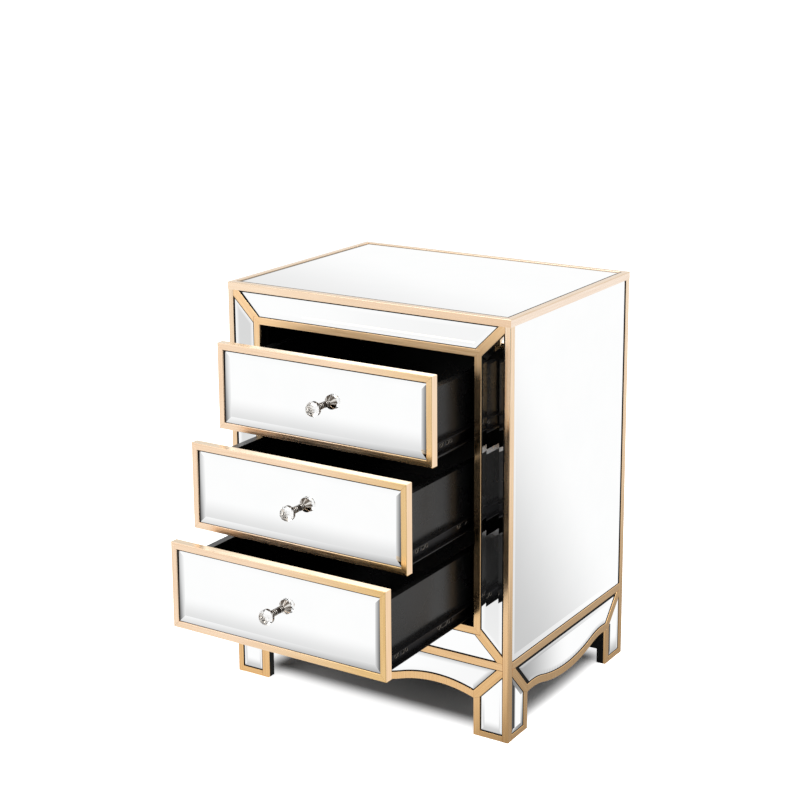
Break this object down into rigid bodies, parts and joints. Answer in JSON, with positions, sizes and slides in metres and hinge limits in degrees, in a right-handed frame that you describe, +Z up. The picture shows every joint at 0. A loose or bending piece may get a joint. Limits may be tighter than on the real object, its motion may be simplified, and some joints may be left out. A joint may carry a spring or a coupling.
{
  "type": "mirrored chest of drawers",
  "caption": "Bedside chest with sliding drawers faced in bevelled mirror, gold trim, scalloped apron, bracket feet and crystal knobs; stores small things and carries a lamp on its flat top.",
  "frame": {"origin": "on the floor, under the centre of the bounding box in the rest pose, with the drawers drawn out as in the picture", "axes": "+Z up, +X to the right as seen from the front, -Y out of the front, the way the drawers open"},
  "size_m": [0.5, 0.6452, 0.645],
  "materials": {
    "gold_trim": "satin champagne-gold paint on wood moulding",
    "gold_frame": "satin champagne-gold paint on wood moulding",
    "mirror_glass": "silvered clear glass with a bevelled edge",
    "case_board": "matt black paint on board",
    "drawer_board": "matt charcoal paint on board",
    "slide_steel": "black zinc-plated sheet steel",
    "cage_steel": "bright sheet steel with steel balls",
    "screw_steel": "zinc-plated steel",
    "knob_chrome": "polished chrome",
    "crystal": "clear cut crystal"
  },
  "bodies": {
    "carcass": {"side_boards": "case_board", "top_board": "case_board", "bottom_board": "case_board", "back_board": "case_board", "back_board_screws": "screw_steel", "runner_panels": "case_board", "face_frame_boards": "case_board", "corner_posts": "gold_trim", "apron_board_front": "case_board", "apron_boards_side": "case_board", "foot_boards": "case_board", "rear_rail": "case_board", "top_border": "gold_trim", "opening_trim": "gold_trim", "mitre_trim": "gold_trim", "waist_trim": "gold_trim", "apron_trim": "gold_trim", "foot_trim": "gold_trim", "top_mirror": "mirror_glass", "side_mirrors": "mirror_glass", "fascia_mirrors": "mirror_glass", "stile_mirrors": "mirror_glass", "apron_mirror_front": "mirror_glass", "apron_mirrors_side": "mirror_glass", "foot_mirrors": "mirror_glass", "slide_channels": "slide_steel", "slide_screws": "screw_steel"},
    "drawer_bottom": {"drawer_bottom_front_frame": "gold_frame", "drawer_bottom_front_mirror": "mirror_glass", "drawer_bottom_front_board": "drawer_board", "drawer_bottom_box_sides": "drawer_board", "drawer_bottom_box_back": "drawer_board", "drawer_bottom_box_panel": "drawer_board", "drawer_bottom_slide_rails": "slide_steel", "drawer_bottom_knob_stem": "knob_chrome", "drawer_bottom_knob_crystal": "crystal", "drawer_bottom_screws": "screw_steel"},
    "cages_bottom": {"drawer_bottom_ball_cages": "cage_steel"},
    "drawer_middle": {"drawer_middle_front_frame": "gold_frame", "drawer_middle_front_mirror": "mirror_glass", "drawer_middle_front_board": "drawer_board", "drawer_middle_box_sides": "drawer_board", "drawer_middle_box_back": "drawer_board", "drawer_middle_box_panel": "drawer_board", "drawer_middle_slide_rails": "slide_steel", "drawer_middle_knob_stem": "knob_chrome", "drawer_middle_knob_crystal": "crystal", "drawer_middle_screws": "screw_steel"},
    "cages_middle": {"drawer_middle_ball_cages": "cage_steel"},
    "drawer_top": {"drawer_top_front_frame": "gold_frame", "drawer_top_front_mirror": "mirror_glass", "drawer_top_front_board": "drawer_board", "drawer_top_box_sides": "drawer_board", "drawer_top_box_back": "drawer_board", "drawer_top_box_panel": "drawer_board", "drawer_top_slide_rails": "slide_steel", "drawer_top_knob_stem": "knob_chrome", "drawer_top_knob_crystal": "crystal", "drawer_top_screws": "screw_steel"},
    "cages_top": {"drawer_top_ball_cages": "cage_steel"}
  },
  "joints": [
    {"name": "bottom_drawer_slide", "type": "slide", "parent": "carcass", "child": "drawer_bottom", "axis": [0, -1, 0], "range_m": [-0.23, 0.03]},
    {"name": "bottom_cages_roll", "type": "slide", "parent": "carcass", "child": "cages_bottom", "axis": [0, -1, 0], "range_m": [-0.115, 0.015]},
    {"name": "middle_drawer_slide", "type": "slide", "parent": "carcass", "child": "drawer_middle", "axis": [0, -1, 0], "range_m": [-0.1755, 0.0845]},
    {"name": "middle_cages_roll", "type": "slide", "parent": "carcass", "child": "cages_middle", "axis": [0, -1, 0], "range_m": [-0.08775, 0.04225]},
    {"name": "top_drawer_slide", "type": "slide", "parent": "carcass", "child": "drawer_top", "axis": [0, -1, 0], "range_m": [-0.109, 0.151]},
    {"name": "top_cages_roll", "type": "slide", "parent": "carcass", "child": "cages_top", "axis": [0, -1, 0], "range_m": [-0.0545, 0.0755]}
  ],
  "couplings": [
    {"joint": "bottom_cages_roll", "follows": "bottom_drawer_slide", "ratio": 0.5},
    {"joint": "middle_cages_roll", "follows": "middle_drawer_slide", "ratio": 0.5},
    {"joint": "top_cages_roll", "follows": "top_drawer_slide", "ratio": 0.5}
  ]
}
